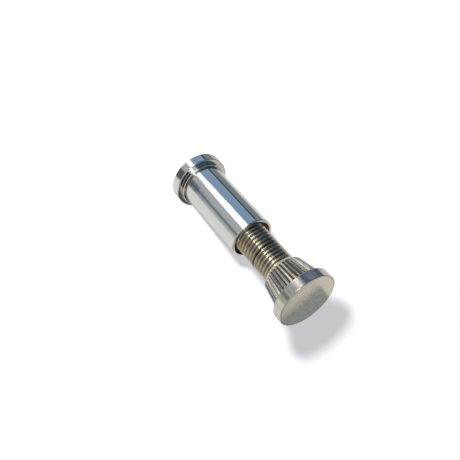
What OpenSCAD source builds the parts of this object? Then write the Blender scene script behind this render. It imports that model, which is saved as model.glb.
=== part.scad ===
// A clamp bolt and its sleeve nut, stood upright on the nut's head.
// Z runs up the common axis, Z = 0 is the outer face of the nut's head.

/* [Bolt head] */
// diameter of the bolt's plain disc head, which sets the nut's head too
bolt_head_d = 14.6; // [13.8:0.1:18]
// thickness of the bolt's disc head
bolt_head_h = 2.45; // [1.6:0.05:4]

/* [Fluted neck] */
// crest diameter of the neck where it meets the bolt head
neck_big_d = 12.5; // [10.6:0.1:13.2]
// crest diameter of the neck at its thin end
neck_small_d = 9.9; // [9.2:0.1:11.6]
// length of the fluted cone, measured along the axis
neck_h = 6.15; // [4:0.05:9]
// number of straight flutes round the neck
flute_count = 36; // [24:1:44]
// width of the crest left between two flutes at the thin end
flute_land = 0.1; // [0.05:0.05:0.25]

/* [Thread] */
// crest diameter of the fine thread
thread_d = 8; // [6.5:0.5:8.5]
// distance from one thread crest to the next
thread_pitch = 1; // [0.75:0.05:1.25]
// length of thread in sight between the neck and the sleeve
thread_showing = 11.1; // [8:0.1:16]
// length of thread screwed into the sleeve
thread_engaged = 9.4; // [5:0.1:9.6]
// gap all round between the thread's crests and the bore
thread_clearance = 0.05; // [0.03:0.01:0.15]
// bevel on the end of the thread
tip_bevel = 0.8; // [0.4:0.1:1.2]

/* [Sleeve] */
// outside diameter of the polished sleeve
sleeve_d = 11; // [10.6:0.1:11.6]
// length of the sleeve from its mouth to the collar
sleeve_h = 21.2; // [20.4:0.1:30]
// wall left round the sleeve's open mouth
mouth_wall = 0.65; // [0.4:0.05:0.85]
// depth of the plain counterbore inside the mouth
mouth_depth = 2; // [0.5:0.1:4]

/* [Collar and nut head] */
// diameter of the stepped collar under the nut's head
collar_d = 12.1; // [11.8:0.1:13]
// thickness of the collar
collar_h = 1; // [0.5:0.05:2]
// how much smaller across the nut's head is than the bolt's
nut_head_less = 0.4; // [0:0.1:0.8]
// thickness of the nut's disc head
nut_head_h = 2.7; // [1.8:0.05:4]
// width across the flats of the key socket in the nut's head
key_flats = 5; // [4:0.5:6]
// depth of the key socket
key_depth = 4; // [3:0.1:4.5]

/* [Edges] */
// bevel on the turned outer edges
edge_bevel = 0.15; // [0.1:0.05:0.25]

/* [Hidden] */
$fn = 96;
nut_head_d = bolt_head_d - nut_head_less;
mouth_d = sleeve_d - 2 * mouth_wall;
bore_d = thread_d + 2 * thread_clearance;
nut_h = nut_head_h + collar_h + sleeve_h;
shoulder_h = (neck_small_d - thread_d) / 2;
bolt_end_z = nut_h - thread_engaged;
neck_foot_z = nut_h + thread_showing;
neck_top_z = neck_foot_z + shoulder_h + neck_h;

// a sixty degree thread form
thread_depth = 0.613 * thread_pitch;
thread_root_r = thread_d / 2 - thread_depth;
flank_h = thread_depth * tan(30);
crest_flat = thread_pitch / 8;
root_flat = thread_pitch - 2 * flank_h - crest_flat;
thread_turns = floor((neck_foot_z - bolt_end_z - tip_bevel - root_flat) / thread_pitch);

// each flute is a right-angled vee that runs along the cone
neck_slope = atan((neck_big_d - neck_small_d) / 2 / neck_h);
flute_depth = (PI * neck_small_d / flute_count - flute_land) / 2;

// outline of the nut from the rim of its head up to the mouth
module nut_blank() {
  rotate_extrude()
    polygon([
      [0, 0],
      [nut_head_d / 2 - edge_bevel, 0],
      [nut_head_d / 2, edge_bevel],
      [nut_head_d / 2, nut_head_h - edge_bevel],
      [nut_head_d / 2 - edge_bevel, nut_head_h],
      [collar_d / 2, nut_head_h],
      [collar_d / 2, nut_head_h + collar_h - edge_bevel],
      [collar_d / 2 - edge_bevel, nut_head_h + collar_h],
      [sleeve_d / 2, nut_head_h + collar_h],
      [sleeve_d / 2, nut_h - edge_bevel],
      [sleeve_d / 2 - edge_bevel, nut_h],
      [0, nut_h]
    ]);
}

// the bore that takes the thread, widened and bevelled at the mouth
module nut_bore() {
  rotate_extrude()
    polygon([
      [0, key_depth],
      [bore_d / 2, key_depth],
      [bore_d / 2, nut_h - mouth_depth],
      [mouth_d / 2, nut_h - mouth_depth],
      [mouth_d / 2, nut_h - edge_bevel],
      [mouth_d / 2 + edge_bevel, nut_h],
      [mouth_d / 2 + edge_bevel, nut_h + edge_bevel],
      [0, nut_h + edge_bevel]
    ]);
}

// six-sided socket for the key, open at the outer face
module key_socket() {
  translate([0, 0, -key_depth])
    cylinder(d = key_flats / cos(30), h = 2.5 * key_depth, $fn = 6);
}

module sleeve_nut() {
  color("#C9CCCF")
    difference() {
      nut_blank();
      nut_bore();
      key_socket();
    }
}

// the plain disc, with both rim edges bevelled
module bolt_head() {
  translate([0, 0, neck_top_z])
    rotate_extrude()
      polygon([
        [0, 0],
        [bolt_head_d / 2 - edge_bevel, 0],
        [bolt_head_d / 2, edge_bevel],
        [bolt_head_d / 2, bolt_head_h - edge_bevel],
        [bolt_head_d / 2 - edge_bevel, bolt_head_h],
        [0, bolt_head_h]
      ]);
}

// one vee, laid along the crest line and run out past both ends of the neck
module flute() {
  translate([neck_big_d / 2, 0, neck_top_z])
    rotate([0, neck_slope, 0])
      translate([0, 0, -1.5 * neck_h])
        linear_extrude(height = 2 * neck_h)
          polygon([
            [-flute_depth, 0],
            [flute_depth, -2 * flute_depth],
            [flute_depth, 2 * flute_depth]
          ]);
}

// the cone and the plain shoulder that drops to the thread
module neck() {
  difference() {
    translate([0, 0, neck_foot_z])
      rotate_extrude()
        polygon([
          [0, 0],
          [thread_d / 2, 0],
          [neck_small_d / 2, shoulder_h],
          [neck_big_d / 2, shoulder_h + neck_h],
          [0, shoulder_h + neck_h]
        ]);
    for (i = [0 : flute_count - 1])
      rotate([0, 0, i * 360 / flute_count])
        flute();
  }
}

// crest and root of one turn, counted down from the neck
function turn(i) = let (z = neck_foot_z - i * thread_pitch) [
  [thread_root_r, z],
  [thread_root_r, z - root_flat],
  [thread_d / 2, z - root_flat - flank_h],
  [thread_d / 2, z - root_flat - flank_h - crest_flat]
];

// threaded shank, cut as rings one pitch apart, on a core that runs up into the head
module shank() {
  core_top_z = neck_top_z + bolt_head_h / 2;
  thread_end_z = neck_foot_z - thread_turns * thread_pitch;
  rings = [for (i = [0 : thread_turns - 1]) each turn(i)];
  rotate_extrude()
    polygon(concat(
      [[0, core_top_z], [thread_root_r, core_top_z]],
      rings,
      [
        [thread_root_r, thread_end_z],
        [thread_root_r, bolt_end_z + tip_bevel / 2],
        [thread_root_r - tip_bevel / 2, bolt_end_z],
        [0, bolt_end_z]
      ]
    ));
}

module clamp_bolt() {
  color("#BDBBB2")
    union() {
      bolt_head();
      neck();
      shank();
    }
}

sleeve_nut();
clamp_bolt();
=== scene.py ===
# %% [markdown]
# A clamp bolt and its sleeve nut
#
# The real object is two turned steel pieces. The bolt has a plain disc head, a fluted cone and a
# fine thread. The nut is a long polished sleeve with a collar and a disc head of its own. The frame
# that is loaded here is the exact CAD model, which stands on the nut's head with Z along the axis.
# This script sets up the camera, gives both pieces finer meshes and real finishes, and ends with a
# floor, a studio and a lamp.

# %% Load the frame
import math

import bmesh
import bpy
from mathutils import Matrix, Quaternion, Vector


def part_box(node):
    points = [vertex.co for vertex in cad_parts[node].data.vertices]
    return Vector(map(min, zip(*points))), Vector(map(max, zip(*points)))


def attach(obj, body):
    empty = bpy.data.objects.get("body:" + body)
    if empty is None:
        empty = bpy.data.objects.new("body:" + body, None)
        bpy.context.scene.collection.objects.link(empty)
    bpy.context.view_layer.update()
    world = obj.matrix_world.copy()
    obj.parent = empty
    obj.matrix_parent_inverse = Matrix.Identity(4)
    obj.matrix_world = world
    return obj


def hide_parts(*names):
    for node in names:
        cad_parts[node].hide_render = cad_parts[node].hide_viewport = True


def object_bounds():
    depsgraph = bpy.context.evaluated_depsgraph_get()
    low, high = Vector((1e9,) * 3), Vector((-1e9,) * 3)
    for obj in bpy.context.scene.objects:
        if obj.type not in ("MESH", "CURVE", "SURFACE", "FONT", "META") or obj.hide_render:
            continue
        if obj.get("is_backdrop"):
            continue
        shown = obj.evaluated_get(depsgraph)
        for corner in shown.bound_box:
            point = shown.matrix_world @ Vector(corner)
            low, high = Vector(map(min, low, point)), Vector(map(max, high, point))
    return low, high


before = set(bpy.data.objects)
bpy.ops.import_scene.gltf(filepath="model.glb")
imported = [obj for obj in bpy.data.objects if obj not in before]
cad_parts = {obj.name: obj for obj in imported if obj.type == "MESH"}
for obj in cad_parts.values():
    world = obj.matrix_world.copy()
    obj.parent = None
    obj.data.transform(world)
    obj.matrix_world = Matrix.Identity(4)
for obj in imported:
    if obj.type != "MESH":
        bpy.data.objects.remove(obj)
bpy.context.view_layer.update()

MM = 0.001

# %% [markdown]
# Sizes
#
# Heights that the CAD boxes give are taken from them. The other sizes repeat the part's source, in
# millimetres, because a box says nothing about a collar or a flute. Shapes are made in millimetres
# and brought to metres at the end, because distances such as 0.03 are easier to read there.

# %% Sizes in millimetres
BOLT_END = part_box("clamp_bolt")[0].z / MM
BOLT_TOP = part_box("clamp_bolt")[1].z / MM
NUT_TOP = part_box("sleeve_nut")[1].z / MM

BOLT_HEAD_D = 14.6
BOLT_HEAD_H = 2.45
NECK_BIG_D = 12.5
NECK_SMALL_D = 9.9
NECK_H = 6.15
FLUTES = 36
FLUTE_DEPTH = 0.382
THREAD_D = 8
PITCH = 1
THREAD_DEPTH = 0.613 * PITCH
NUT_HEAD_D = 14.2
NUT_HEAD_H = 2.7
COLLAR_D = 12.1
COLLAR_H = 1
SLEEVE_D = 11
MOUTH_D = 9.7
MOUTH_DEPTH = 2
BORE_D = 8.1
KEY_FLATS = 5
KEY_DEPTH = 4
EDGE = 0.15

NECK_TOP = BOLT_TOP - BOLT_HEAD_H
SHOULDER_TOP = NECK_TOP - NECK_H
SHOULDER_FOOT = SHOULDER_TOP - (NECK_SMALL_D - THREAD_D) / 2
COLLAR_TOP = NUT_HEAD_H + COLLAR_H
print("bolt from", round(BOLT_END, 2), "to", round(BOLT_TOP, 2), "and nut up to", round(NUT_TOP, 2))

# %% [markdown]
# The camera
#
# The photograph was taken from close by, so nearer parts look larger, and the bolt's head is nearest.
# A camera was fitted to the edge circles of both heads. It stands 110 mm from the axis and 93 mm up,
# and is rolled so far over that the standing part appears lying, as it does in the photograph. The
# lens is the one that fits that view on a square picture.

# %% Camera
def put_in_scene(name, data):
    """Makes an object of the data and puts it in the scene."""
    made = bpy.data.objects.new(name, data)
    bpy.context.scene.collection.objects.link(made)
    return made


CAMERA_PLACE = Vector((-3.27, -110.07, 92.79))
CAMERA_AIM = Vector((2.54, -0.13, 19.03))
CAMERA_ROLL = math.radians(138.96)
CAMERA_LENS = 43.85

camera = put_in_scene("camera", bpy.data.cameras.new("camera"))
bpy.context.scene.camera = camera
camera.data.lens = CAMERA_LENS
camera.data.sensor_width = 36
camera.data.clip_start = 0.01
camera.rotation_mode = "QUATERNION"
camera.location = CAMERA_PLACE * MM
view = (CAMERA_AIM - CAMERA_PLACE).normalized()
camera.rotation_quaternion = view.to_track_quat("-Z", "Y") @ Quaternion((0, 0, 1), CAMERA_ROLL)
CAMERA_AZIMUTH = math.atan2(CAMERA_PLACE.y, CAMERA_PLACE.x)
print("camera stands at", round(math.degrees(CAMERA_AZIMUTH), 1), "degrees round the axis")
print("and looks down by", round(math.degrees(math.asin(-view.z)), 1), "degrees")

# %% [markdown]
# The outline of a turned piece
#
# A lathe makes every round surface here, so the same is done in Blender: an outline of a few points
# is drawn beside the axis and spun round it. No real edge is perfectly sharp, and on polished metal
# it is the small round along an edge that catches the light. A vertex bevel rounds the corners of
# the outline before it is spun, which costs a few points instead of a bevel on the whole mesh.
#
# Smooth shading would then bend a flat face near its rounded edge, and a mirror shows that at once.
# So each long edge of the outline gets a holding point close to both ends. All the bending happens
# in the narrow strip outside it, and the face between stays flat.

# %% Outline with rounded corners and holding points
LONG_EDGE = 0.2
HOLD_AWAY = 0.03
ROUND_SEGMENTS = 4


def hold_flats(edges, least=LONG_EDGE):
    """Puts a point close to both ends of every edge that is longer than least."""
    for edge in [edge for edge in edges if edge.calc_length() > least]:
        for end in tuple(edge.verts):
            rest = bmesh.utils.edge_split(edge, end, HOLD_AWAY / edge.calc_length())[0]
            edge = max((edge, rest), key=lambda part: part.calc_length())


def round_corners(shape, points, size, segments):
    """Rounds wire corners with an arc that starts size away from each."""
    bmesh.ops.bevel(
        shape, geom=points, offset=size, offset_type="OFFSET", segments=segments,
        profile=0.5, affect="VERTICES", material=-1,
    )


def outline(shape, corners, least=LONG_EDGE):
    """Draws a chain of edges through (radius, height, rounding) corners."""
    points = [shape.verts.new((radius, 0, height)) for radius, height, _ in corners]
    for pair in zip(points, points[1:]):
        shape.edges.new(pair)
    for size in sorted({corner[2] for corner in corners} - {0}):
        picked = [point for point, corner in zip(points, corners) if corner[2] == size]
        round_corners(shape, picked, size, ROUND_SEGMENTS)
    hold_flats(shape.edges, least)


print("edges over", LONG_EDGE, "mm get holding points", HOLD_AWAY, "mm from their ends")

# %% [markdown]
# Spinning the outline
#
# The spin operator turns the outline once round the axis, as the bar turns in the lathe. Its last
# step has to meet its first, and a point on the axis is copied once for each step, so points that
# share a place are merged afterwards. Where another shape takes over from a turned one, the circle
# that is still open there is found by its height and radius.

# %% Spin and open circles
SAME_POINT = 0.001


def spin_round(shape, steps):
    """Spins everything in the bmesh once round the axis and closes the seam and the pole."""
    bmesh.ops.spin(
        shape, geom=shape.verts[:] + shape.edges[:], cent=(0, 0, 0), axis=(0, 0, 1),
        dvec=(0, 0, 0), angle=math.tau, steps=steps, use_merge=True,
    )
    bmesh.ops.remove_doubles(shape, verts=shape.verts, dist=SAME_POINT)


def open_loop(shape, height, radius):
    """The open edges at one height whose points all lie within the radius of the axis."""
    loose = [edge for edge in shape.edges if len(edge.link_faces) < 2]
    return [
        edge for edge in loose
        if all(abs(point.co.z - height) < SAME_POINT for point in edge.verts)
        and all(point.co.xy.length < radius for point in edge.verts)
    ]


print("points closer than", SAME_POINT, "mm are merged")

# %% [markdown]
# Finishing a piece
#
# A mesh that was spun can end up inside out, so its normals are worked out again. Edges that turn by
# more than 32 degrees stay crisp and all others shade smoothly. The count of open edges has to be 0,
# because the real pieces are solid metal.

# %% Finish, place and dress
CRISP = math.radians(32)


def make_object(shape, name, materials):
    """Turns a bmesh in millimetres into an object in metres, dressed in its materials."""
    bmesh.ops.scale(shape, vec=(MM, MM, MM), verts=shape.verts)
    mesh = bpy.data.meshes.new(name)
    shape.to_mesh(mesh)
    shape.free()
    for material in materials:
        mesh.materials.append(material)
    return put_in_scene(name, mesh)


def finish_piece(shape, name, body, node, materials):
    """Turns the bmesh into a closed, smooth piece that rides on its body."""
    bmesh.ops.recalc_face_normals(shape, faces=shape.faces)
    for face in shape.faces:
        face.smooth = True
    for edge in shape.edges:
        edge.smooth = edge.calc_face_angle(0) < CRISP
    still_open = sum(len(edge.link_faces) != 2 for edge in shape.edges)
    piece = make_object(shape, name, materials)
    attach(piece, body)
    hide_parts(node)
    print(name, "has", len(piece.data.polygons), "faces and", still_open, "open edges")


print("edges stay crisp from", round(math.degrees(CRISP)), "degrees")

# %% [markdown]
# Colours and nodes
#
# Colours are written as the hex values a screen shows, and one function turns them to linear light.
# Another adds a shader node with its settings, links and ramp stops, which keeps each recipe short.

# %% Colour and node
def linear(hex_colour):
    """An sRGB hex colour as linear red, green, blue and full alpha."""
    channels = [int(hex_colour[place:place + 2], 16) / 255 for place in (1, 3, 5)]
    return [c / 12.92 if c <= 0.04045 else ((c + 0.055) / 1.055) ** 2.4 for c in channels] + [1]


def add(tree, kind, links=None, stops=(), **settings):
    """Adds a node. links maps an input to a value or an output, stops are (place, hex colour)."""
    made = tree.nodes.new(kind)
    for name, value in settings.items():
        setattr(made, name, value)
    for name, value in (links or {}).items():
        if isinstance(value, bpy.types.NodeSocket):
            tree.links.new(value, made.inputs[name])
        else:
            made.inputs[name].default_value = value
    for count, (place, colour) in enumerate(stops):
        elements = made.color_ramp.elements
        element = elements[count] if count < 2 else elements.new(place)
        element.position = place
        element.color = linear(colour)
    return made


print("mid grey #808080 is", round(linear("#808080")[0], 3), "in linear light")

# %% [markdown]
# What every metal starts from
#
# Every metal here starts alike: fully metallic, with the piece's own coordinates in millimetres, so
# that the scale of a pattern follows from its real size. Wear, grime and painted shade on a turned
# piece follow its radius and height, so two more helpers measure those.

# %% Metal, radius and height
def metal(name):
    """A bare metal: its material, tree and shader, and the place on the piece in millimetres."""
    material = bpy.data.materials.new(name)
    material.use_nodes = True
    tree = material.node_tree
    shader = tree.nodes["Principled BSDF"]
    shader.inputs["Metallic"].default_value = 1
    metres = add(tree, "ShaderNodeTexCoord").outputs["Object"]
    to_mm = {"Vector": metres, "Scale": (1 / MM, 1 / MM, 1 / MM)}
    place = add(tree, "ShaderNodeMapping", to_mm).outputs["Vector"]
    return material, tree, shader, place


def radius_at(tree, place):
    """How far a place is from the axis."""
    level = add(tree, "ShaderNodeVectorMath", {0: place, 1: (1, 1, 0)}, operation="MULTIPLY")
    return add(tree, "ShaderNodeVectorMath", {0: level.outputs[0]}, operation="LENGTH").outputs["Value"]


def height_at(tree, place):
    """How far up a place is."""
    return add(tree, "ShaderNodeSeparateXYZ", {"Vector": place}).outputs["Z"]


print("patterns are scaled by", round(1 / MM), "from metres to millimetres")

# %% [markdown]
# Polished chrome
#
# The nut is hard chrome plating on polished steel: nearly a mirror, a little cool, with no grain of
# its own. What the eye sees in it is the room. Handling tells it from a perfect mirror: smudges some
# millimetres across blur the reflection a little, and hairline scratches run mostly along the sleeve.
# The inner corner just above the collar is painted darker, as painted shade.

# %% Polished chrome
chrome, tree, shader, place = metal("polished_chrome_plating")
height = height_at(tree, place)
RIPPLE_DEPTH = 0.015

smudge = add(tree, "ShaderNodeTexNoise", {"Vector": place, "Scale": 0.35, "Detail": 3, "Roughness": 0.6})
blur = add(tree, "ShaderNodeMapRange", {
    "Value": smudge.outputs["Fac"], "From Min": 0.4, "From Max": 0.75, "To Min": 0.035, "To Max": 0.1,
})
along = add(tree, "ShaderNodeMapping", {
    "Vector": place, "Rotation": (0.12, 0.08, 0), "Scale": (5, 5, 0.35),
})
hair = add(tree, "ShaderNodeTexNoise", {"Vector": along.outputs["Vector"], "Scale": 1, "Detail": 2})
scratch = add(tree, "ShaderNodeMapRange", {
    "Value": hair.outputs["Fac"], "From Min": 0.65, "From Max": 0.7,
})
rough = add(tree, "ShaderNodeMath", {
    0: scratch.outputs["Result"], 1: 0.12, 2: blur.outputs["Result"],
}, operation="MULTIPLY_ADD")
tree.links.new(rough.outputs[0], shader.inputs["Roughness"])

# Painted shade: the sleeve is painted darker just above the collar, in the inner corner.
corner_shade_and_oil_film = add(tree, "ShaderNodeMapRange", {
    "Value": height, "From Min": COLLAR_TOP, "From Max": COLLAR_TOP + 0.7, "To Min": 0.4, "To Max": 0,
})
sleeve_only = add(tree, "ShaderNodeMath", {0: height, 1: COLLAR_TOP}, operation="GREATER_THAN")
corner_shade_and_oil_film = add(tree, "ShaderNodeMath", {0: corner_shade_and_oil_film.outputs[0], 1: sleeve_only.outputs[0]}, operation="MULTIPLY")
colour = add(tree, "ShaderNodeMix", {
    0: corner_shade_and_oil_film.outputs[0], 6: linear("#D8DADB"), 7: linear("#7C7872"),
}, data_type="RGBA")
tree.links.new(colour.outputs[2], shader.inputs["Base Color"])

ripple = add(tree, "ShaderNodeTexNoise", {"Vector": place, "Scale": 0.5, "Detail": 1})
bump = add(tree, "ShaderNodeBump", {
    "Height": ripple.outputs["Fac"], "Strength": 1, "Distance": RIPPLE_DEPTH * MM,
})
tree.links.new(bump.outputs["Normal"], shader.inputs["Normal"])
print(chrome.name, "has", len(tree.nodes), "nodes")

# %% [markdown]
# Dull bore
#
# Inside the nut nobody polishes. The bore and the key socket are bare, drilled and broached steel
# with old oil on it, so they are dull, brown-grey and patchy. Their colour is also painted much darker
# than bare steel, as painted shade inside the nut.

# %% Oiled bare steel
bore_steel_and_shade, tree, shader, place = metal("drilled_oiled_steel_and_shade")

shader.inputs["Roughness"].default_value = 0.45
stain = add(tree, "ShaderNodeTexNoise", {"Vector": place, "Scale": 1.2, "Detail": 4})
# The ramp is far darker than bare steel: dull oiled steel, and painted shade inside the nut.
colour = add(tree, "ShaderNodeValToRGB", {"Fac": stain.outputs["Fac"]}, [
    (0.3, "#3A3732"), (0.7, "#77726A"),
])
tree.links.new(colour.outputs["Color"], shader.inputs["Base Color"])
print(bore_steel_and_shade.name, "has", len(tree.nodes), "nodes")

# %% [markdown]
# Worn bright plating
#
# The bolt's rim, neck and shoulder are nickel plated steel that handling has worn: warmer and a
# little duller than the nut. Nothing rubs the flanks of the flutes, so they are duller than the
# crests, and the bottom of each is painted dark, as grime and painted shade. So the material first
# works out how deep a point lies below the cone through the crests, and whether it is on the neck at
# all.

# %% Worn nickel plating: depth below the crests
nickel, tree, shader, place = metal("worn_nickel_plating")
radius = radius_at(tree, place)
height = height_at(tree, place)
SHADE_AND_GRIME_FROM = 0.27
SHADE_AND_GRIME_FULL = 0.38
FLANK_FROM = 0.02
FLANK_FULL = 0.08
NECK_FOOT = SHOULDER_TOP - 0.15

crest = add(tree, "ShaderNodeMapRange", {
    "Value": height, "From Min": SHOULDER_TOP, "From Max": NECK_TOP,
    "To Min": NECK_SMALL_D / 2, "To Max": NECK_BIG_D / 2,
})
depth = add(tree, "ShaderNodeMath", {0: crest.outputs["Result"], 1: radius}, operation="SUBTRACT")
speck = add(tree, "ShaderNodeTexNoise", {"Vector": place, "Scale": 3, "Detail": 4})
uneven = add(tree, "ShaderNodeMath", {
    0: speck.outputs["Fac"], 1: 0.08, 2: depth.outputs[0],
}, operation="MULTIPLY_ADD")
deep = add(tree, "ShaderNodeMapRange", {
    "Value": uneven.outputs[0], "From Min": SHADE_AND_GRIME_FROM, "From Max": SHADE_AND_GRIME_FULL,
})
flank = add(tree, "ShaderNodeMapRange", {
    "Value": depth.outputs[0], "From Min": FLANK_FROM, "From Max": FLANK_FULL,
})
above = add(tree, "ShaderNodeMath", {0: height, 1: NECK_FOOT}, operation="GREATER_THAN")
below = add(tree, "ShaderNodeMath", {0: height, 1: NECK_TOP}, operation="LESS_THAN")
neck = add(tree, "ShaderNodeMath", {0: above.outputs[0], 1: below.outputs[0]}, operation="MULTIPLY")
# Painted shade and grime: the bottom of each flute is painted dark.
groove_shade_and_grime = add(tree, "ShaderNodeMath", {
    0: deep.outputs["Result"], 1: neck.outputs[0],
}, operation="MULTIPLY").outputs[0]
dull = add(tree, "ShaderNodeMath", {
    0: flank.outputs["Result"], 1: neck.outputs[0],
}, operation="MULTIPLY").outputs[0]
print("grime starts", SHADE_AND_GRIME_FROM, "mm deep in flutes of", FLUTE_DEPTH, "mm")

# %% [markdown]
# The colour of the worn plating
#
# The turning tool left fine streaks, which wear has drawn out along the axis on the rim, so a noise
# that is stretched the same way picks between three shades of nickel. Over them come the dull
# flanks, then the dark groove bottoms, which are grime and painted shade, and last the shoulder,
# which is painted pale as painted light.

# %% Worn nickel plating: colour
STREAK_ACROSS = 2.5
STREAK_ALONG = 0.15
PAINTED_LIGHT_BELOW = SHOULDER_TOP - 0.1

drawn_out = add(tree, "ShaderNodeMapping", {
    "Vector": place, "Scale": (STREAK_ACROSS, STREAK_ACROSS, STREAK_ALONG),
})
streak = add(tree, "ShaderNodeTexNoise", {
    "Vector": drawn_out.outputs["Vector"], "Scale": 1, "Detail": 4, "Roughness": 0.65,
})
plating = add(tree, "ShaderNodeValToRGB", {"Fac": streak.outputs["Fac"]}, [
    (0.35, "#B7B2A8"), (0.5, "#CCC8BF"), (0.65, "#D6D3CC"),
])
colour = add(tree, "ShaderNodeMix", {
    0: dull, 6: plating.outputs["Color"], 7: linear("#B7B1A8"),
}, data_type="RGBA")
# The groove bottoms get their dark colour here: grime and painted shade.
colour = add(tree, "ShaderNodeMix", {
    0: groove_shade_and_grime, 6: colour.outputs[2], 7: linear("#2F2C28"),
}, data_type="RGBA")
# Painted light: the shoulder is painted pale, for light thrown up onto it from below.
shoulder = add(tree, "ShaderNodeMath", {0: height, 1: PAINTED_LIGHT_BELOW}, operation="LESS_THAN").outputs[0]
colour = add(tree, "ShaderNodeMix", {
    0: shoulder, 6: colour.outputs[2], 7: linear("#EFE9DA"),
}, data_type="RGBA")
tree.links.new(colour.outputs[2], shader.inputs["Base Color"])
print("streaks are", round(STREAK_ACROSS / STREAK_ALONG), "times as long as they are wide")

# %% [markdown]
# The polish of the worn plating
#
# Where the streaks are pale the plating is also smoother. The dark groove bottoms and the pale
# shoulder are much rougher, and the rim a touch. The flanks keep the fine marks that the cutter
# dragged along them: a noise that runs round the axis quickly and along it slowly, as a bump of a
# few hundredths of a millimetre.

# %% Worn nickel plating: polish and cutter marks
MARKS_PER_FLUTE = 10
MARK_DEPTH = 0.025

worn = add(tree, "ShaderNodeMapRange", {
    "Value": streak.outputs["Fac"], "From Min": 0.35, "From Max": 0.65, "To Min": 0.18, "To Max": 0.09,
})
rough = add(tree, "ShaderNodeMath", {0: groove_shade_and_grime, 1: 0.3, 2: worn.outputs[0]}, operation="MULTIPLY_ADD")
rough = add(tree, "ShaderNodeMath", {0: shoulder, 1: 0.4, 2: rough.outputs[0]}, operation="MULTIPLY_ADD")
rim = add(tree, "ShaderNodeMath", {0: height, 1: NECK_TOP + 0.05}, operation="GREATER_THAN").outputs[0]
rough = add(tree, "ShaderNodeMath", {0: rim, 1: 0.01, 2: rough.outputs[0]}, operation="MULTIPLY_ADD")
tree.links.new(rough.outputs[0], shader.inputs["Roughness"])

turned = add(tree, "ShaderNodeTexGradient", {"Vector": place}, gradient_type="RADIAL")
across = add(tree, "ShaderNodeMath", {
    0: turned.outputs["Fac"], 1: FLUTES * MARKS_PER_FLUTE,
}, operation="MULTIPLY")
along = add(tree, "ShaderNodeMath", {0: height, 1: 0.3}, operation="MULTIPLY")
dragged = add(tree, "ShaderNodeCombineXYZ", {"X": across.outputs[0], "Y": along.outputs[0]})
marks = add(tree, "ShaderNodeTexNoise", {"Vector": dragged.outputs[0], "Scale": 1, "Detail": 1})
marks = add(tree, "ShaderNodeMath", {
    0: marks.outputs["Fac"], 1: neck.outputs[0],
}, operation="MULTIPLY")
bump = add(tree, "ShaderNodeBump", {
    "Height": marks.outputs[0], "Strength": 1, "Distance": MARK_DEPTH * MM,
})
tree.links.new(bump.outputs["Normal"], shader.inputs["Normal"])
print(nickel.name, "has", len(tree.nodes), "nodes")

# %% [markdown]
# Faced end
#
# The bolt's outer face was faced off on the lathe and has been rubbed dull since. It keeps a few
# shallow rings from the tool near its rim, about 0.4 mm apart, and fine pits and rub marks all over.
# A thin dark ring is painted just inside the rim, as a painted reflection of the dark line along the
# rounded edge.
#
# The rings come from a wave in the radius, faded out towards the middle, and drive the bump as well
# as the roughness, because a real tool mark is both a groove and a change of polish.

# %% Faced and rubbed nickel
faced, tree, shader, place = metal("faced_rubbed_nickel")
radius = radius_at(tree, place)
PAINTED_DARK_RING_RADIUS = BOLT_HEAD_D / 2 - 0.3
RING_SPACING = 0.4
PIT_DEPTH = 0.01

blotch = add(tree, "ShaderNodeTexNoise", {"Vector": place, "Scale": 0.9, "Detail": 5, "Roughness": 0.7})
colour = add(tree, "ShaderNodeValToRGB", {"Fac": blotch.outputs["Fac"]}, [
    (0.3, "#BDBAB2"), (0.5, "#D0CCC4"), (0.7, "#DAD7D0"),
])
# Painted reflection: a thin dark ring just inside the rim, for the dark line that the rounded edge
# mirrors.
from_line = add(tree, "ShaderNodeMath", {0: radius, 1: PAINTED_DARK_RING_RADIUS}, operation="SUBTRACT")
from_line = add(tree, "ShaderNodeMath", {0: from_line.outputs[0]}, operation="ABSOLUTE")
painted_dark_ring = add(tree, "ShaderNodeMapRange", {
    "Value": from_line.outputs[0], "From Min": 0.02, "From Max": 0.12, "To Min": 0.7, "To Max": 0,
})
colour = add(tree, "ShaderNodeMix", {
    0: painted_dark_ring.outputs["Result"], 6: colour.outputs["Color"], 7: linear("#6B675F"),
}, data_type="RGBA")
tree.links.new(colour.outputs[2], shader.inputs["Base Color"])

turn = add(tree, "ShaderNodeMath", {0: radius, 1: math.tau / RING_SPACING}, operation="MULTIPLY")
wave = add(tree, "ShaderNodeMath", {0: turn.outputs[0]}, operation="SINE")
near_rim = add(tree, "ShaderNodeMapRange", {"Value": radius, "From Min": 4.5, "From Max": 6.6})
rings = add(tree, "ShaderNodeMath", {0: wave.outputs[0], 1: near_rim.outputs[0]}, operation="MULTIPLY")
satin = add(tree, "ShaderNodeMapRange", {
    "Value": blotch.outputs["Fac"], "From Min": 0.3, "From Max": 0.7, "To Min": 0.2, "To Max": 0.3,
})
rough = add(tree, "ShaderNodeMath", {
    0: rings.outputs[0], 1: 0.04, 2: satin.outputs[0],
}, operation="MULTIPLY_ADD")
tree.links.new(rough.outputs[0], shader.inputs["Roughness"])
pits = add(tree, "ShaderNodeTexNoise", {"Vector": place, "Scale": 2.2, "Detail": 5, "Roughness": 0.7})
relief = add(tree, "ShaderNodeMath", {
    0: rings.outputs[0], 1: 0.5, 2: pits.outputs["Fac"],
}, operation="MULTIPLY_ADD")
bump = add(tree, "ShaderNodeBump", {
    "Height": relief.outputs[0], "Strength": 1, "Distance": PIT_DEPTH * MM,
})
tree.links.new(bump.outputs["Normal"], shader.inputs["Normal"])
print(faced.name, "has", len(tree.nodes), "nodes")

# %% [markdown]
# Oiled thread
#
# The thread was rolled, plated with the rest of the bolt and then oiled. One ramp runs from the root
# of the thread to its crest, pushed a little up and down by a noise: the crests are rubbed bright by
# the nut, and the darker roots are oil and painted shade in the grooves. In patches the oil has
# dried to a straw yellow film, and one groove near the middle holds dark grease.

# %% Rolled and oiled steel
oiled, tree, shader, place = metal("rolled_oiled_steel")
radius = radius_at(tree, place)
height = height_at(tree, place)
GREASED_GROOVE = BOLT_TOP - 14.8

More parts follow.
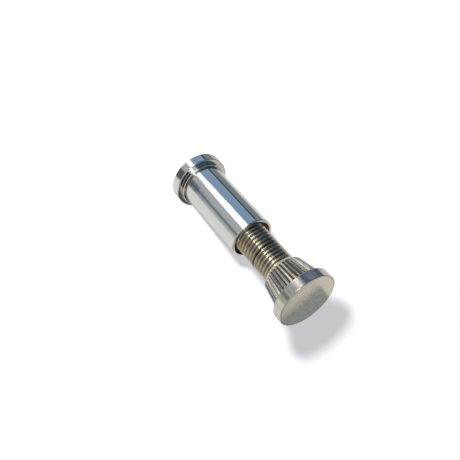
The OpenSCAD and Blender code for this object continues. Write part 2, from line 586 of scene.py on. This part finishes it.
speck = add(tree, "ShaderNodeTexNoise", {"Vector": place, "Scale": 1.6, "Detail": 4, "Roughness": 0.6})
uneven = add(tree, "ShaderNodeMath", {
    0: speck.outputs["Fac"], 1: 0.3, 2: radius,
}, operation="MULTIPLY_ADD")
root_shade_to_rubbed_crest = add(tree, "ShaderNodeMapRange", {
    "Value": uneven.outputs[0],
    "From Min": THREAD_D / 2 - THREAD_DEPTH + 0.15, "From Max": THREAD_D / 2 + 0.1,
})
# Darker towards the root: oil in the grooves, and painted shade.
colour = add(tree, "ShaderNodeValToRGB", {"Fac": root_shade_to_rubbed_crest.outputs["Result"]}, [
    (0.05, "#968F7B"), (0.45, "#A59F8D"), (0.8, "#BDB9AD"), (1, "#C6C3B9"),
])
corner_shade_and_oil_film = add(tree, "ShaderNodeTexNoise", {"Vector": place, "Scale": 0.45, "Detail": 2})
straw = add(tree, "ShaderNodeMapRange", {
    "Value": corner_shade_and_oil_film.outputs["Fac"], "From Min": 0.5, "From Max": 0.7, "To Max": 0.4,
})
colour = add(tree, "ShaderNodeMix", {
    0: straw.outputs["Result"], 6: colour.outputs["Color"], 7: linear("#B08A50"),
}, data_type="RGBA")
off_groove = add(tree, "ShaderNodeMath", {0: height, 1: GREASED_GROOVE}, operation="SUBTRACT")
off_groove = add(tree, "ShaderNodeMath", {0: off_groove.outputs[0]}, operation="ABSOLUTE")
grease = add(tree, "ShaderNodeMapRange", {
    "Value": off_groove.outputs[0], "From Min": 0.1, "From Max": 0.33, "To Min": 0.8, "To Max": 0,
})
colour = add(tree, "ShaderNodeMix", {
    0: grease.outputs["Result"], 6: colour.outputs[2], 7: linear("#33200F"),
}, data_type="RGBA")
tree.links.new(colour.outputs[2], shader.inputs["Base Color"])
rough = add(tree, "ShaderNodeMapRange", {
    "Value": root_shade_to_rubbed_crest.outputs["Result"], "To Min": 0.22, "To Max": 0.17,
})
tree.links.new(rough.outputs["Result"], shader.inputs["Roughness"])
print(oiled.name, "has", len(tree.nodes), "nodes")

# %% [markdown]
# The sleeve nut
#
# It was turned from one bar: head, collar, sleeve and open mouth outside, and a bore inside. One
# outline runs from the socket's rim round the outside, over the mouth and back down the bore, so
# the whole nut is one closed skin. Corners that point outwards are rounded by a little more than the
# bevel of the source, because only a wide round shows up as a bright line. The lip of the mouth is
# rounded most outside and little inside. Inner corners are nearly sharp.

# %% Sleeve nut: the turned skin
NUT_STEPS = 192
SOCKET_RING = 3.5
FACE_ROUND = 0.225
STEP_ROUND = 0.2
LIP_OUTSIDE = 0.25
LIP_INSIDE = 0.1
INNER_CORNER = 0.06

nut = bmesh.new()
outline(nut, [
    (SOCKET_RING, 0, 0),
    (NUT_HEAD_D / 2, 0, FACE_ROUND),
    (NUT_HEAD_D / 2, NUT_HEAD_H, STEP_ROUND),
    (COLLAR_D / 2, NUT_HEAD_H, INNER_CORNER),
    (COLLAR_D / 2, COLLAR_TOP, STEP_ROUND),
    (SLEEVE_D / 2, COLLAR_TOP, INNER_CORNER),
    (SLEEVE_D / 2, NUT_TOP, LIP_OUTSIDE),
    (MOUTH_D / 2, NUT_TOP, LIP_INSIDE),
    (MOUTH_D / 2, NUT_TOP - MOUTH_DEPTH, INNER_CORNER),
    (BORE_D / 2, NUT_TOP - MOUTH_DEPTH, INNER_CORNER),
    (BORE_D / 2, KEY_DEPTH, 0),
    (SOCKET_RING, KEY_DEPTH, 0),
])
print("the outline has", len(nut.verts), "points")
spin_round(nut, NUT_STEPS)

# %% [markdown]
# The key socket
#
# The six-sided socket isn't round, so the spin can't make it. A hexagon is drawn with as many points
# as the spin has steps, and bridged point for point to the open circle round it. Its edges are then
# extruded twice, once inwards for the chamfer and once down to the socket's floor, and bridged to
# the circle at the end of the bore. The walls of the socket and the bore get the dull steel with its
# painted shade, and the wall of the mouth keeps the plating.

# %% Sleeve nut: the key socket
SOCKET_CHAMFER = 0.2
INSIDE = MOUTH_D / 2 - 0.02
MARGIN = 0.1
CORNERS = KEY_FLATS / 2 / math.cos(math.radians(30))
WIDENED = CORNERS + SOCKET_CHAMFER

hexagon = bmesh.ops.create_circle(nut, radius=WIDENED, segments=6)["verts"]
quarter_turn = Quaternion((0, 0, 1), math.pi / 2).to_matrix()
bmesh.ops.rotate(nut, verts=hexagon, cent=(0, 0, 0), matrix=quarter_turn)
sides = [edge for edge in nut.edges if edge.is_wire]
bmesh.ops.subdivide_edges(nut, edges=sides, cuts=NUT_STEPS // 6 - 1)
bmesh.ops.bridge_loops(nut, edges=open_loop(nut, 0, SOCKET_RING + MARGIN))

rim = open_loop(nut, 0, SOCKET_RING - MARGIN)
for step, inwards in ((SOCKET_CHAMFER, CORNERS / WIDENED), (KEY_DEPTH - SOCKET_CHAMFER, 1)):
    made = bmesh.ops.extrude_edge_only(nut, edges=rim)["geom"]
    rim = [part for part in made if isinstance(part, bmesh.types.BMEdge)]
    points = [part for part in made if isinstance(part, bmesh.types.BMVert)]
    bmesh.ops.scale(nut, verts=points, vec=(inwards, inwards, 1))
    bmesh.ops.translate(nut, verts=points, vec=(0, 0, step))
bmesh.ops.bridge_loops(nut, edges=open_loop(nut, KEY_DEPTH, SOCKET_RING + MARGIN))

for face in nut.faces:
    middle = face.calc_center_median()
    if middle.xy.length < INSIDE and MARGIN < middle.z < NUT_TOP - MARGIN:
        face.material_index = 1
print("faces inside the nut:", sum(face.material_index for face in nut.faces))
finish_piece(nut, "sleeve_nut_turned", "nut", "sleeve_nut", [chrome, bore_steel_and_shade])

# %% [markdown]
# A star of flutes
#
# The flutes are vees cut along a cone, which bite into their seat so that the bolt can't turn. Seen
# along the axis they make a star. One flute is drawn as a short chain, from the middle of one land
# over crest, valley and crest to the middle of the next. Its corners are rounded a little, its flanks
# get holding points, and a spin copies it all round.

# %% Neck: a star of flutes
VALLEY_ROUND = 0.08
LAND_ROUND = 0.03


def star(shape, crest, crest_height, valley, valley_height):
    """A closed star of flutes, with crests and valleys at their own radius and height."""
    half = FLUTE_DEPTH / crest
    land = math.pi / FLUTES
    before = set(shape.edges)
    spots = (
        (-land, crest, crest_height),
        (-half, crest, crest_height),
        (0, valley, valley_height),
        (half, crest, crest_height),
        (land, crest, crest_height),
    )
    points = [shape.verts.new((r * math.cos(turn), r * math.sin(turn), z)) for turn, r, z in spots]
    for pair in zip(points, points[1:]):
        shape.edges.new(pair)
    round_corners(shape, points[2:3], VALLEY_ROUND, 3)
    round_corners(shape, [points[1], points[3]], LAND_ROUND, 2)
    hold_flats([edge for edge in shape.edges if edge not in before])
    flute = [edge for edge in shape.edges if edge not in before]
    ends = list(dict.fromkeys(point for edge in flute for point in edge.verts))
    bmesh.ops.spin(
        shape, geom=ends + flute, cent=(0, 0, 0), axis=(0, 0, 1), dvec=(0, 0, 0),
        angle=math.tau, steps=FLUTES, use_duplicate=True,
    )
    bmesh.ops.remove_doubles(shape, verts=shape.verts, dist=SAME_POINT)


print("a flute takes up", round(360 / FLUTES, 1), "degrees")

# %% [markdown]
# The fluted neck
#
# There is one star at each end of the cone. Where the small one cuts the 45 degree shoulder its
# valleys sit lower and nearer the axis: cut_in is how far up and out from the shoulder's foot they
# end. Both stars have the same number of points, so the bridge between them runs straight.

# %% Neck: two stars and the skin between them
SLOPE = (NECK_BIG_D - NECK_SMALL_D) / 2 / NECK_H
SHOULDER_H = SHOULDER_TOP - SHOULDER_FOOT

bolt = bmesh.new()
cut_in = (NECK_SMALL_D / 2 - FLUTE_DEPTH - THREAD_D / 2 - SLOPE * SHOULDER_H) / (1 - SLOPE)
star(bolt, NECK_SMALL_D / 2, SHOULDER_TOP, THREAD_D / 2 + cut_in, SHOULDER_FOOT + cut_in)
STAR_POINTS = len(bolt.verts)
star(bolt, NECK_BIG_D / 2, NECK_TOP, NECK_BIG_D / 2 - FLUTE_DEPTH, NECK_TOP)
print("points in the small star:", STAR_POINTS, "and in the big one:", len(bolt.verts) - STAR_POINTS)
bmesh.ops.bridge_loops(bolt, edges=bolt.edges[:])
print("faces on the neck:", len(bolt.faces))

# %% [markdown]
# Shoulder and head
#
# The shoulder drops from the small star to a circle of the thread's size, and a flat face closes it
# there, hidden inside the thread. The head is turned like the nut, with as many steps as a star has
# points. Its outline starts a little outside the crests, so that a narrow flat ring joins it to the
# big star. Head, neck and shoulder are then one closed skin like the real thing, which was made from
# one bar.

# %% Shoulder
circle = bmesh.ops.create_circle(bolt, radius=THREAD_D / 2, segments=STAR_POINTS)["verts"]
bmesh.ops.translate(bolt, verts=circle, vec=(0, 0, SHOULDER_FOOT))
low_edges = [
    edge for edge in bolt.edges
    if len(edge.link_faces) < 2 and all(point.co.z < SHOULDER_TOP + SAME_POINT for point in edge.verts)
]
bmesh.ops.bridge_loops(bolt, edges=low_edges)
bmesh.ops.holes_fill(bolt, edges=open_loop(bolt, SHOULDER_FOOT, NECK_SMALL_D / 2), sides=0)
print("faces on neck and shoulder:", len(bolt.faces))

# %% Head and faced end
HEAD_RING = NECK_BIG_D / 2 + 0.3

head = bmesh.new()
outline(head, [
    (HEAD_RING, NECK_TOP, 0),
    (BOLT_HEAD_D / 2, NECK_TOP, EDGE),
    (BOLT_HEAD_D / 2, BOLT_TOP, EDGE),
    (0, BOLT_TOP, 0),
])
spin_round(head, STAR_POINTS)
carrier = bpy.data.meshes.new("carrier")
head.to_mesh(carrier)
head.free()
bolt.from_mesh(carrier)
bpy.data.meshes.remove(carrier)
bmesh.ops.bridge_loops(bolt, edges=[edge for edge in bolt.edges if edge.is_boundary])
for face in bolt.faces:
    middle = face.calc_center_median()
    if middle.z > BOLT_TOP - SAME_POINT:
        face.material_index = 1
print("faces on the faced end:", sum(face.material_index for face in bolt.faces))
finish_piece(bolt, "bolt_head_and_neck", "bolt", "clamp_bolt", [nickel, faced])

# %% [markdown]
# The thread
#
# A thread is one outline that climbs by its pitch in each turn round the axis. The spin operator
# does both when it is given a step upwards. One turn is spun and then copied up the shank, and the
# copies' ends meet and merge. The crests and roots are rounded a little, as rolling leaves them.

# %% Thread: one turn, copied upwards
THREAD_STEPS = 96
ROOT = THREAD_D / 2 - THREAD_DEPTH
FLANK = THREAD_DEPTH * math.tan(math.radians(30))
CREST_FLAT = PITCH / 8
ROOT_FLAT = PITCH - 2 * FLANK - CREST_FLAT
START = BOLT_END - 1.5 * PITCH
CREST_START = START + ROOT_FLAT / 2 + FLANK
ROOT_ROUND = 0.06
CREST_ROUND = 0.04
ENDS_MEET = 0.004

thread = bmesh.new()
outline(thread, [
    (ROOT, START, 0),
    (ROOT, START + ROOT_FLAT / 2, ROOT_ROUND),
    (THREAD_D / 2, CREST_START, CREST_ROUND),
    (THREAD_D / 2, CREST_START + CREST_FLAT, CREST_ROUND),
    (ROOT, START + PITCH - ROOT_FLAT / 2, ROOT_ROUND),
    (ROOT, START + PITCH, 0),
], least=PITCH)
bmesh.ops.spin(
    thread, geom=thread.verts[:] + thread.edges[:], cent=(0, 0, 0), axis=(0, 0, 1),
    dvec=(0, 0, PITCH / THREAD_STEPS), angle=math.tau, steps=THREAD_STEPS,
)
turns = math.ceil((SHOULDER_TOP - START) / PITCH)
bmesh.ops.spin(
    thread, geom=thread.verts[:] + thread.edges[:] + thread.faces[:], cent=(0, 0, 0), axis=(0, 0, 1),
    dvec=(0, 0, PITCH), angle=0, steps=turns, use_duplicate=True,
)
bmesh.ops.remove_doubles(thread, verts=thread.verts, dist=ENDS_MEET)
print("turns:", turns, "faces:", len(thread.faces))

# %% [markdown]
# The ends of the thread
#
# A real thread runs out under the shoulder at one end and into a bevel at the other. A plane trims
# the helix just inside the shoulder, where nothing of the cut shows, and a second one at the end of
# the bolt. Points near that end are then drawn in towards the axis, which makes the bevel.

# %% Thread: trimmed ends and bevelled tip
INTO_SHOULDER = 0.2
TIP_RADIUS = 3

for cut, outwards in ((SHOULDER_FOOT + INTO_SHOULDER, 1), (BOLT_END, -1)):
    bmesh.ops.bisect_plane(
        thread, geom=thread.verts[:] + thread.edges[:] + thread.faces[:], dist=SAME_POINT / 10,
        plane_co=(0, 0, cut), plane_no=(0, 0, outwards), clear_outer=True,
    )
    bmesh.ops.holes_fill(thread, edges=open_loop(thread, cut, THREAD_D), sides=0)
for point in thread.verts:
    widest = TIP_RADIUS + point.co.z - BOLT_END
    if point.co.xy.length > widest:
        point.co.xy *= widest / point.co.xy.length
finish_piece(thread, "bolt_thread", "bolt", "clamp_bolt", [oiled])

# %% [markdown]
# The floor
#
# The photograph shows a white surface that runs into a white background, with a soft grey shadow.
# Here it is a round sheet of white paper. In the light of this scene plain white paper would look
# grey, so its colour is raised for camera rays alone until the lit paper is white and its edge
# disappears. No light is added for that, and the shadow keeps its tone.
#
# AMBIENT is the light that a surface gets from all round, and LAMP what it gets from the lamp when it
# faces it. Together they come close to 1, where a colour looks as it is written. SHADOW_TONE is how
# paper looks in full shadow, and PAPER is the plain colour that it throws back on the object.

# %% Light levels and paper
AMBIENT = 0.2
LAMP = 0.75
SHADOW_TONE = "#C6C7CB"
PAPER = "#E7E7E7"


def blank(name):
    """A material and its tree, with no nodes in it yet."""
    material = bpy.data.materials.new(name)
    material.use_nodes = True
    material.node_tree.nodes.clear()
    return material, material.node_tree


paper, tree = blank("white_paper")
raised = [channel / AMBIENT for channel in linear(SHADOW_TONE)[:3]]
seen = add(tree, "ShaderNodeLightPath").outputs["Is Camera Ray"]
tone = add(tree, "ShaderNodeMix", {
    0: seen, 4: linear(PAPER)[:3], 5: raised,
}, data_type="VECTOR", clamp_factor=True)
diffuse = add(tree, "ShaderNodeBsdfDiffuse", {"Color": tone.outputs[1]})
tree.links.new(diffuse.outputs[0], add(tree, "ShaderNodeOutputMaterial").inputs["Surface"])
print("paper is raised to", [round(channel, 2) for channel in raised], "for the camera")

# %% Floor
SHEET_RADIUS = 210
SHEET_CENTRE = Vector((0, 40, 0))

sheet = bmesh.new()
bmesh.ops.create_circle(sheet, cap_ends=True, radius=SHEET_RADIUS, segments=96)
bmesh.ops.translate(sheet, verts=sheet.verts, vec=SHEET_CENTRE)
floor = make_object(sheet, "floor", [paper])
floor.visible_glossy = False
floor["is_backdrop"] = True
print("the sheet is", 2 * SHEET_RADIUS, "mm across")

# %% [markdown]
# The studio
#
# Bright metal has no colour of its own to show: it looks like what stands round it. The bands on the
# sleeve are the photographer's room, so the world shows a room too. It could be built of real walls
# and cards, but a world needs only directions: how far round from the camera a ray goes, and how far
# up. The walls are white, a little greyer on some sides, warm above eye level and dull overhead.

# %% Studio: white walls
world = bpy.data.worlds.new("studio")
bpy.context.scene.world = world
world.use_nodes = True
tree = world.node_tree
tree.nodes.clear()

toward = add(tree, "ShaderNodeTexCoord").outputs["Generated"]
to_camera = add(tree, "ShaderNodeMapping", {"Vector": toward, "Rotation": (0, 0, -CAMERA_AZIMUTH)})
around = add(tree, "ShaderNodeTexGradient", {"Vector": to_camera.outputs[0]}, gradient_type="RADIAL")
round_from_camera = add(tree, "ShaderNodeMath", {
    0: around.outputs["Fac"], 1: 360, 2: -180,
}, operation="MULTIPLY_ADD").outputs[0]
height = add(tree, "ShaderNodeSeparateXYZ", {"Vector": toward}).outputs["Z"]
angle = add(tree, "ShaderNodeMath", {0: height}, operation="ARCSINE").outputs[0]
up = add(tree, "ShaderNodeMath", {0: angle}, operation="DEGREES").outputs[0]

low_wall = add(tree, "ShaderNodeValToRGB", {"Fac": around.outputs["Fac"]}, [
    (0, "#FFFFFF"), (0.08, "#F9FAF6"), (0.14, "#E4E6E4"), (0.2, "#D6D8D6"),
    (0.8, "#F5F5EE"), (0.87, "#ECEDE8"), (0.94, "#C3C4C1"), (1, "#A9AAA7"),
])
eye_level = add(tree, "ShaderNodeMapRange", {"Value": up, "From Min": -8, "From Max": 4})
room = add(tree, "ShaderNodeMix", {
    0: eye_level.outputs[0], 6: low_wall.outputs["Color"], 7: linear("#F2EDE2"),
}, data_type="RGBA").outputs[2]
ceiling = add(tree, "ShaderNodeMapRange", {"Value": up, "From Min": 50, "From Max": 58})
room = add(tree, "ShaderNodeMix", {
    0: ceiling.outputs[0], 6: room, 7: linear("#9C9A94"),
}, data_type="RGBA").outputs[2]
print("walls are up, with", len(tree.nodes), "nodes")

# %% [markdown]
# Cards in the room
#
# Against the walls hang cards: a shaded table, a blue door and grey curtains next to the window, and
# dark cupboards higher up. Each is given by where it hangs, in degrees round from the camera and in
# degrees up, and a later card hangs in front of an earlier one. Their borders are soft, as they are in
# the photograph.

# %% Studio: how a card hangs
def between(value, start, end, soft):
    """1 from start to end and 0 outside, over a soft border on both sides."""
    into = add(tree, "ShaderNodeMapRange", {
        "Value": value, "From Min": start - soft, "From Max": start + soft,
    }, interpolation_type="SMOOTHSTEP")
    out_of = add(tree, "ShaderNodeMapRange", {
        "Value": value, "From Min": end - soft, "From Max": end + soft, "To Min": 1, "To Max": 0,
    }, interpolation_type="SMOOTHSTEP")
    return add(tree, "ShaderNodeMath", {
        0: into.outputs[0], 1: out_of.outputs[0],
    }, operation="MULTIPLY").outputs[0]


def hang(room, start, end, low, high, soft, border, colour):
    """The room with one more card in front, soft at its sides and with a border above and below."""
    across = between(round_from_camera, start, end, soft)
    upright = between(up, low, high, border)
    held = add(tree, "ShaderNodeMath", {0: across, 1: upright}, operation="MULTIPLY")
    return add(tree, "ShaderNodeMix", {
        0: held.outputs[0], 6: room, 7: colour,
    }, data_type="RGBA").outputs[2]


print("0 degrees round is", round(math.degrees(CAMERA_AZIMUTH), 1), "degrees in the frame")

# %% Studio: the cards
CARD_BORDER = 2
CARDS = (
    # from and to round, low and high, border, colour
    ("shaded table", -190, 190, -56, -44, 3, "#7E7C78"),
    ("window sill", -29, 22, -56, -44, 3, "#FFFFFF"),
    ("post under the window", -2.5, 7, -60, -45, 1.5, "#2E2C2A"),
    ("grey curtain", -10, 66, -44, 2, 6, "#BCC0C0"),
    ("dark corner by the curtain", 37, 51, -44, 2, 4, "#828B92"),
    ("dark box on the table", 24, 62, -44, -39, 5, "#565F67"),
    ("blue door", -71, -20, -44, 2, 4, "#8EAAC7"),
    ("upper part of the door", -112, -33, -30, 14, 3, "#5E6A80"),
    ("pane in the door", -86, -52, -26, -12, 5, "#8797B4"),
    ("dark frame of the door", -87, -73, -44, -27, 2.5, "#4C5A69"),
    ("pale side wall", -190, -112, -50, -39, 8, "#C4C6C6"),
    ("second curtain", -119, -86, -44, -27, 4, "#898E92"),
    ("dark doorway", 12, 96, 33, 49, 3, "#3C3442"),
    ("olive cupboard", 96, 138, 18, 49, 4, "#BDB398"),
    ("grey cupboard", 138, 185, 33, 47, 3, "#58595C"),
    ("dark green cupboard", -136, -27, 12, 60, 4, "#425A66"),
    ("beige curtain", -185, -136, 28, 50, 4, "#D3CCBB"),
)
for name, start, end, low, high, soft, colour in CARDS:
    room = hang(room, start, end, low, high, soft, CARD_BORDER, linear(colour))
    print(name, "hangs from", start, "to", end, "degrees")

# %% [markdown]
# The window
#
# The window hangs in front of it all. Its panes are brighter than white, as a real window is beside
# its wall, because worn metal swallows part of what it mirrors, and twice over in a groove. They are
# seen in reflections alone and light nothing else.

# %% Studio: window
PANE_BORDER = 1.5
PANES = (
    # from and to round, low and high, border, level
    (-21, -12, -26, 44, 5, 1.05),
    (-28, 0, -39.3, -28, 3, 1.6),
    (-25, -8, -44, -39.3, 3, 1.6),
    (-21, -9, -42, -37, 2, 4),
    (-26, -1, -36, -29, 2, 6),
    (-30, -3.5, -57, -46, 2, 1.7),
    (9, 20, -57, -46, 2, 1.4),
)
for start, end, low, high, soft, level in PANES:
    room = hang(room, start, end, low, high, soft, PANE_BORDER, (level, level, level, 1))
print("panes in the window:", len(PANES))

# %% [markdown]
# Who sees the room
#
# The camera itself sees a plain white background. Glossy and transmission rays get the same strength
# of 1, with the room in front of it, and diffuse light is plain and has no colour. The paper is left
# out of reflections, because a pillar that stands on it would show nothing else.

# %% Studio: light paths
path = add(tree, "ShaderNodeLightPath").outputs
mirrored = add(tree, "ShaderNodeMath", {
    0: path["Is Glossy Ray"], 1: path["Is Transmission Ray"],
}, operation="MAXIMUM").outputs[0]
full = add(tree, "ShaderNodeMath", {0: path["Is Camera Ray"], 1: mirrored}, operation="MAXIMUM")
strength = add(tree, "ShaderNodeMapRange", {"Value": full.outputs[0], "To Min": AMBIENT, "To Max": 1})
colour = add(tree, "ShaderNodeMix", {0: mirrored, 6: linear("#FFFFFF"), 7: room}, data_type="RGBA")
backdrop = add(tree, "ShaderNodeBackground", {
    "Color": colour.outputs[2], "Strength": strength.outputs[0],
})
tree.links.new(backdrop.outputs[0], add(tree, "ShaderNodeOutputWorld").inputs["Surface"])
print("the studio has", len(tree.nodes), "nodes")

# %% [markdown]
# A grey card over the bolt's head
#
# The bolt's face looks at one small part of the room, and in the photograph that part is half bright
# wall and half shaded table. A low grey card just beyond the face stands for the table and leans a
# little, like the border in the photograph. It is seen only in reflections, and it lights nothing.

# %% Grey card
GREY_SIZE = Vector((16, 5.2, 1))
GREY_LEAN = math.radians(-4)
GREY_PLACE = Vector((4, 7.6, BOLT_TOP + 2.1))

grey, tree = blank("grey_card")
glow = add(tree, "ShaderNodeEmission", {"Color": linear("#9CA2A2"), "Strength": 1})
tree.links.new(glow.outputs[0], add(tree, "ShaderNodeOutputMaterial").inputs["Surface"])

sheet = bmesh.new()
bmesh.ops.create_grid(sheet, x_segments=1, y_segments=1, size=0.5)
bmesh.ops.scale(sheet, verts=sheet.verts, vec=GREY_SIZE)
for axis, angle in (((1, 0, 0), math.pi / 2), ((0, 1, 0), GREY_LEAN)):
    turn = Quaternion(axis, angle).to_matrix()
    bmesh.ops.rotate(sheet, verts=sheet.verts, cent=(0, 0, 0), matrix=turn)
bmesh.ops.translate(sheet, verts=sheet.verts, vec=GREY_PLACE)
grey_card = make_object(sheet, "grey_card", [grey])
grey_card.visible_camera = False
grey_card.visible_diffuse = False
grey_card.visible_shadow = False
grey_card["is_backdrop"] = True
print("the card stands", round(GREY_PLACE.y, 1), "mm behind the axis")

# %% [markdown]
# The lamp
#
# The shadow in the photograph spreads: the head's shadow is nearly twice as wide as the head. So the
# lamp is close. Its place was worked out from the edges of that shadow on the floor: 98 mm in front
# of the axis and 75 mm up. Its glass is 6 mm across, which gives the soft border. A lamp that close
# would light the near paper far more than the rest, so its falloff is set to constant.

# %% Lamp
LAMP_PLACE = Vector((-6, -98, 75))
LAMP_GLASS = 6

lamp_data = bpy.data.lights.new("lamp", "POINT")
lamp_data.shadow_soft_size = LAMP_GLASS / 2 * MM
lamp_data.energy = LAMP * 4 * math.pi ** 2
lamp_data.use_nodes = True
tree = lamp_data.node_tree
falloff = add(tree, "ShaderNodeLightFalloff", {"Strength": 1})
tree.links.new(falloff.outputs["Constant"], tree.nodes["Emission"].inputs["Strength"])
lamp = put_in_scene("lamp", lamp_data)
lamp.location = LAMP_PLACE * MM
print("the lamp is", round(LAMP_PLACE.length), "mm away from the foot of the nut")

# %% [markdown]
#
# The finer meshes have to fill the same box as the CAD model, so the box of the finer meshes is printed.
# The
# Standard view shows colours as they are written.

bpy.context.scene.view_settings.view_transform = "Standard"
low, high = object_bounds()
print("visual box in mm:", [round(side / MM, 2) for side in high - low])
